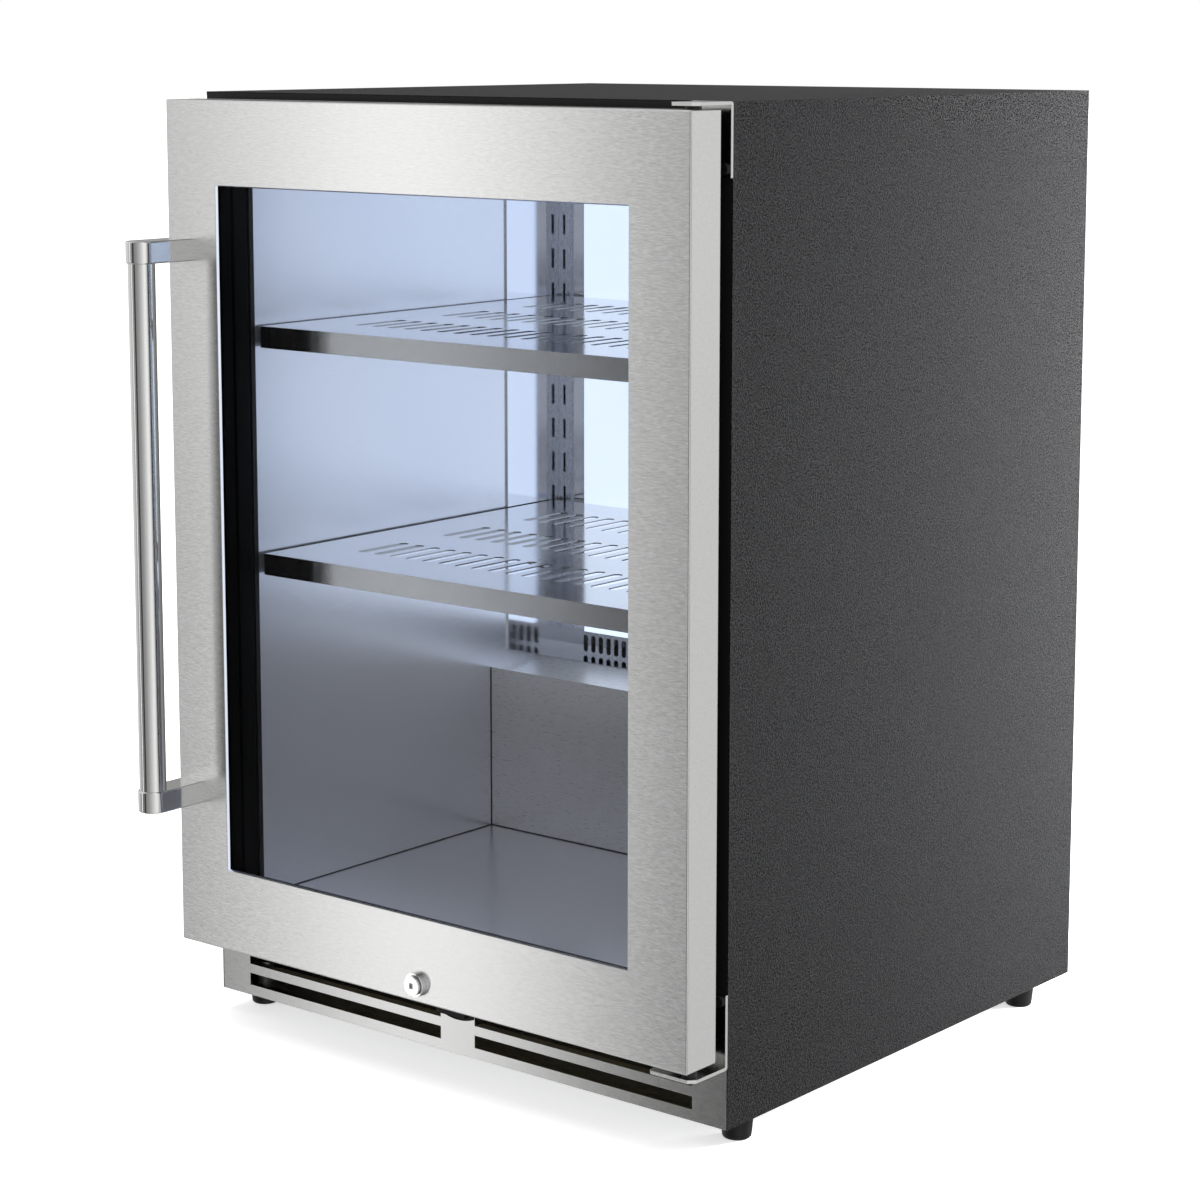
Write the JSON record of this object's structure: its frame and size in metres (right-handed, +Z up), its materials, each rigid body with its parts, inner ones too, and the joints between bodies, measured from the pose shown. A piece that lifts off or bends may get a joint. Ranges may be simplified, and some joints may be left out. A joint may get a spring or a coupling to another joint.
{
  "type": "undercounter refrigerator",
  "caption": "Undercounter refrigerator with a stainless framed glass door, bar handle, key lock, dark textured cabinet, lit steel interior with perforated shelves and a vented kick grille.",
  "frame": {"origin": "on the floor plane, under the centre of the overall box", "axes": "+Z up; -Y is the front, where the door faces; +X is the hinge side"},
  "size_m": [0.606, 0.672, 0.876],
  "materials": {
    "wrap_paint": "matte",
    "galvanised": "satin",
    "door_steel": "satin",
    "grille_steel": "satin",
    "handle_steel": "satin",
    "hinge_steel": "satin",
    "liner_steel": "satin",
    "shelf_steel": "satin",
    "frame_paint": "satin",
    "door_plastic": "satin",
    "gasket_rubber": "matte",
    "glass": "gloss",
    "spacer_bar": "matte",
    "lock_chrome": "polished",
    "foot_plastic": "satin",
    "foam": "matte",
    "light_diffuser": "matte",
    "copper_tube": "satin",
    "coil_aluminium": "satin",
    "fan_plastic": "matte",
    "compressor_paint": "gloss",
    "grommet_rubber": "matte",
    "tray_plastic": "matte",
    "electronics_plastic": "matte",
    "control_plastic": "gloss",
    "nylon": "satin",
    "screw_black": "satin"
  },
  "bodies": {
    "cabinet": {"base_pan": "galvanised", "base_rails": "galvanised", "compressor": "compressor_paint", "compressor_mounts": "grommet_rubber", "condenser_coil": "coil_aluminium", "condenser_fan_housing": "fan_plastic", "control_panel": "control_plastic", "drip_pan": "tray_plastic", "duct_panel": "liner_steel", "electronics_box": "electronics_plastic", "evaporator_coil": "coil_aluminium", "evaporator_fan_housing": "fan_plastic", "foot_inserts": "galvanised", "front_frame": "frame_paint", "hinge_bracket_bottom": "hinge_steel", "hinge_bracket_top": "hinge_steel", "hinge_pins": "hinge_steel", "hinge_screws": "screw_black", "insulation_floor": "foam", "insulation_rear": "foam", "insulation_sides": "foam", "insulation_top": "foam", "kick_grille": "grille_steel", "light_panel": "light_diffuser", "liner_ceiling": "liner_steel", "liner_floor": "liner_steel", "liner_left": "liner_steel", "liner_rear": "liner_steel", "liner_right": "liner_steel", "liner_step": "liner_steel", "lock_keeper": "frame_paint", "pilasters": "shelf_steel", "power_inlet": "electronics_plastic", "rear_panel": "galvanised", "refrigerant_lines": "copper_tube", "shelf_brackets": "shelf_steel", "shelf_lower": "shelf_steel", "shelf_upper": "shelf_steel", "side_panel_left": "wrap_paint", "side_panel_right": "wrap_paint", "top_panel": "wrap_paint"},
    "door": {"door_skin": "door_steel", "door_liner": "door_plastic", "glass_front": "glass", "glass_rear": "glass", "glass_spacer": "spacer_bar", "door_gasket": "gasket_rubber", "handle_bar": "handle_steel", "handle_posts": "handle_steel", "handle_screws": "hinge_steel", "hinge_bushings": "nylon", "lock_housing": "lock_chrome"},
    "lock_cylinder": {"lock_plug": "lock_chrome", "lock_cam": "lock_chrome"},
    "evaporator_rotor": {"evaporator_fan_rotor": "fan_plastic"},
    "condenser_rotor": {"condenser_fan_rotor": "fan_plastic"},
    "foot_front_left_leveller": {"foot_front_left": "foot_plastic"},
    "foot_front_right_leveller": {"foot_front_right": "foot_plastic"},
    "foot_rear_left_leveller": {"foot_rear_left": "foot_plastic"},
    "foot_rear_right_leveller": {"foot_rear_right": "foot_plastic"}
  },
  "joints": [
    {"name": "door_hinge", "type": "hinge", "parent": "cabinet", "child": "door", "pos_m": [0.292, -0.257, 0.45], "axis": [0, 0, 1], "range_deg": [0, 110]},
    {"name": "lock_turn", "type": "hinge", "parent": "door", "child": "lock_cylinder", "pos_m": [0, -0.25, 0.0985], "axis": [0, -1, 0], "range_deg": [0, 90]},
    {"name": "evaporator_fan_spin", "type": "hinge", "parent": "cabinet", "child": "evaporator_rotor", "pos_m": [0, 0.25, 0.6], "axis": [0, 1, 0], "continuous": true},
    {"name": "condenser_fan_spin", "type": "hinge", "parent": "cabinet", "child": "condenser_rotor", "pos_m": [-0.18, 0.243, 0.118], "axis": [1, 0, 0], "continuous": true},
    {"name": "foot_front_left_travel", "type": "slide", "parent": "cabinet", "child": "foot_front_left_leveller", "axis": [0, 0, 1], "range_m": [-0.02, 0]},
    {"name": "foot_front_right_travel", "type": "slide", "parent": "cabinet", "child": "foot_front_right_leveller", "axis": [0, 0, 1], "range_m": [-0.02, 0]},
    {"name": "foot_rear_left_travel", "type": "slide", "parent": "cabinet", "child": "foot_rear_left_leveller", "axis": [0, 0, 1], "range_m": [-0.02, 0]},
    {"name": "foot_rear_right_travel", "type": "slide", "parent": "cabinet", "child": "foot_rear_right_leveller", "axis": [0, 0, 1], "range_m": [-0.02, 0]}
  ]
}
